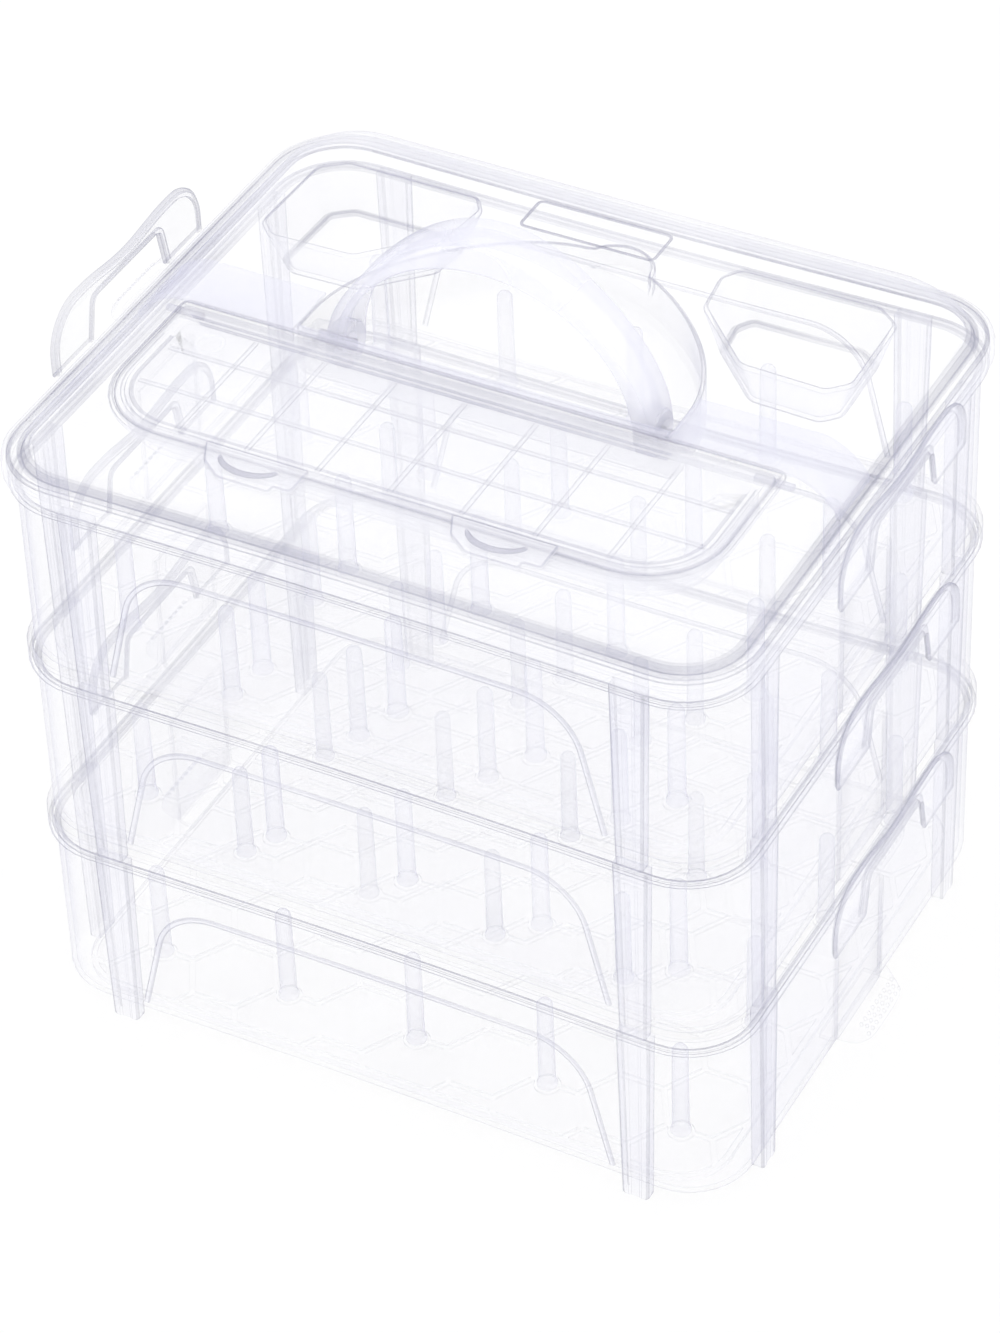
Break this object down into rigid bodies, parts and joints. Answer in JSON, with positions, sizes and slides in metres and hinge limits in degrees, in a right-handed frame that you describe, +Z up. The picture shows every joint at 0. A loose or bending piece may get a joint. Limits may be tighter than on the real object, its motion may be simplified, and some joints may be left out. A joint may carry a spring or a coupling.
{
  "type": "thread spool storage box",
  "caption": "Clear stacking storage box for thread spools: peg trays, press-in side latches, and a domed lid with a hinged compartment, rear cups and a folding carry handle",
  "frame": {"origin": "middle of the footprint, on the surface that the feet stand on", "axes": "+Z up, front towards -Y, latches on the left (-X) and right (+X)"},
  "size_m": [0.2762, 0.216, 0.282],
  "materials": {
    "clear_tray": "clear moulded polystyrene, faint lavender tint",
    "clear_latch": "clear moulded polystyrene with grip dots",
    "clear_board": "clear moulded sheet with a hexagon pattern",
    "clear_peg": "solid clear plastic, reads darker through its thickness",
    "clear_lid": "clear moulded polystyrene, polished",
    "clear_cover": "clear moulded polystyrene, polished",
    "clear_handle": "clear moulded plastic, channel section",
    "clear_pin": "solid clear plastic"
  },
  "bodies": {
    "bottom_tray": {"tray_bottom": "clear_tray", "latch_ear_bottom_left": "clear_tray", "latch_ear_bottom_right": "clear_tray"},
    "bottom_board": {"spool_board_bottom": "clear_board", "spool_pegs_bottom": "clear_peg"},
    "bottom_latch_left": {"latch_tongue_bottom_left": "clear_latch"},
    "bottom_latch_right": {"latch_tongue_bottom_right": "clear_latch"},
    "middle_tray": {"tray_middle": "clear_tray", "latch_ear_middle_left": "clear_tray", "latch_ear_middle_right": "clear_tray"},
    "middle_board": {"spool_board_middle": "clear_board", "spool_pegs_middle": "clear_peg"},
    "middle_latch_left": {"latch_tongue_middle_left": "clear_latch"},
    "middle_latch_right": {"latch_tongue_middle_right": "clear_latch"},
    "top_tray": {"tray_top": "clear_tray", "latch_ear_top_left": "clear_tray", "latch_ear_top_right": "clear_tray"},
    "top_board": {"spool_board_top": "clear_board", "spool_pegs_top": "clear_peg"},
    "top_latch_left": {"latch_tongue_top_left": "clear_latch"},
    "top_latch_right": {"latch_tongue_top_right": "clear_latch"},
    "lid_body": {"lid": "clear_lid", "cover_hinge_pin_left": "clear_pin", "cover_hinge_pin_right": "clear_pin", "handle_pivot_pin_left": "clear_pin", "handle_pivot_pin_right": "clear_pin"},
    "cover": {"compartment_cover": "clear_cover", "cover_snap_tab_left": "clear_cover", "cover_snap_tab_right": "clear_cover"},
    "handle": {"carry_handle": "clear_handle"}
  },
  "joints": [
    {"name": "tray_middle_lift", "type": "slide", "parent": "bottom_tray", "child": "middle_tray", "axis": [0, 0, 1], "range_m": [0, 0.12]},
    {"name": "tray_top_lift", "type": "slide", "parent": "middle_tray", "child": "top_tray", "axis": [0, 0, 1], "range_m": [0, 0.12]},
    {"name": "lid_lift", "type": "slide", "parent": "top_tray", "child": "lid_body", "axis": [0, 0, 1], "range_m": [0, 0.12]},
    {"name": "board_bottom_lift", "type": "slide", "parent": "bottom_tray", "child": "bottom_board", "axis": [0, 0, 1], "range_m": [0, 0.06]},
    {"name": "latch_bottom_left", "type": "hinge", "parent": "bottom_tray", "child": "bottom_latch_left", "pos_m": [-0.1252, 0, 0.05], "axis": [0, -1, 0], "range_deg": [0, 3.5], "stiffness_Nm_per_rad": 0.4},
    {"name": "latch_bottom_right", "type": "hinge", "parent": "bottom_tray", "child": "bottom_latch_right", "pos_m": [0.1252, 0, 0.05], "axis": [0, 1, 0], "range_deg": [0, 3.5], "stiffness_Nm_per_rad": 0.4},
    {"name": "board_middle_lift", "type": "slide", "parent": "middle_tray", "child": "middle_board", "axis": [0, 0, 1], "range_m": [0, 0.06]},
    {"name": "latch_middle_left", "type": "hinge", "parent": "middle_tray", "child": "middle_latch_left", "pos_m": [-0.1252, 0, 0.1206], "axis": [0, -1, 0], "range_deg": [0, 3.5], "stiffness_Nm_per_rad": 0.4},
    {"name": "latch_middle_right", "type": "hinge", "parent": "middle_tray", "child": "middle_latch_right", "pos_m": [0.1252, 0, 0.1206], "axis": [0, 1, 0], "range_deg": [0, 3.5], "stiffness_Nm_per_rad": 0.4},
    {"name": "board_top_lift", "type": "slide", "parent": "top_tray", "child": "top_board", "axis": [0, 0, 1], "range_m": [0, 0.06]},
    {"name": "latch_top_left", "type": "hinge", "parent": "top_tray", "child": "top_latch_left", "pos_m": [-0.1252, 0, 0.1912], "axis": [0, -1, 0], "range_deg": [0, 3.5], "stiffness_Nm_per_rad": 0.4},
    {"name": "latch_top_right", "type": "hinge", "parent": "top_tray", "child": "top_latch_right", "pos_m": [0.1252, 0, 0.1912], "axis": [0, 1, 0], "range_deg": [0, 3.5], "stiffness_Nm_per_rad": 0.4},
    {"name": "cover_hinge", "type": "hinge", "parent": "lid_body", "child": "cover", "pos_m": [0, -0.019, 0.2318], "axis": [-1, 0, 0], "range_deg": [0, 90]},
    {"name": "handle_fold", "type": "hinge", "parent": "lid_body", "child": "handle", "pos_m": [0, -0.003, 0.2245], "axis": [-1, 0, 0], "range_deg": [0, 90]}
  ],
  "couplings": [
    {"joint": "board_bottom_lift", "follows": "tray_middle_lift", "ratio": 0.5},
    {"joint": "board_middle_lift", "follows": "tray_top_lift", "ratio": 0.5},
    {"joint": "board_top_lift", "follows": "lid_lift", "ratio": 0.5}
  ]
}
